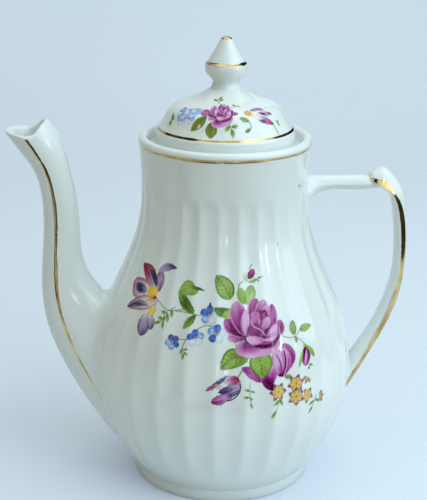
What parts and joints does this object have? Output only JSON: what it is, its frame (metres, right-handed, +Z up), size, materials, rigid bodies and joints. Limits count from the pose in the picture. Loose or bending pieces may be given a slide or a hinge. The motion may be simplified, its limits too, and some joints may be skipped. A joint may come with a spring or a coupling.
{
  "type": "coffee pot",
  "caption": "Fluted baluster coffee pot of white glazed porcelain with a swan-neck spout, a loop handle with a thumb rest and a lift-off domed lid with a pointed knob.",
  "frame": {"origin": "centre of the foot ring, on the plane that the pot stands on", "axes": "+Z up along the pot's axis, -X towards the spout, +X towards the handle, -Y towards the decorated front"},
  "size_m": [0.1981, 0.1278, 0.222],
  "materials": {
    "porcelain": "glossy clear glaze over white porcelain",
    "gilding": "thin burnished gold line, worn in places",
    "flower_print": "coloured flower print under a glossy glaze"
  },
  "bodies": {
    "pot": {"pot_body": "porcelain", "spout": "porcelain", "handle": "porcelain"},
    "lid": {"lid": "porcelain", "lid_finial": "porcelain"}
  },
  "joints": [
    {"name": "lid_lift", "type": "slide", "parent": "pot", "child": "lid", "axis": [0, 0, 1], "range_m": [0, 0.07]}
  ]
}
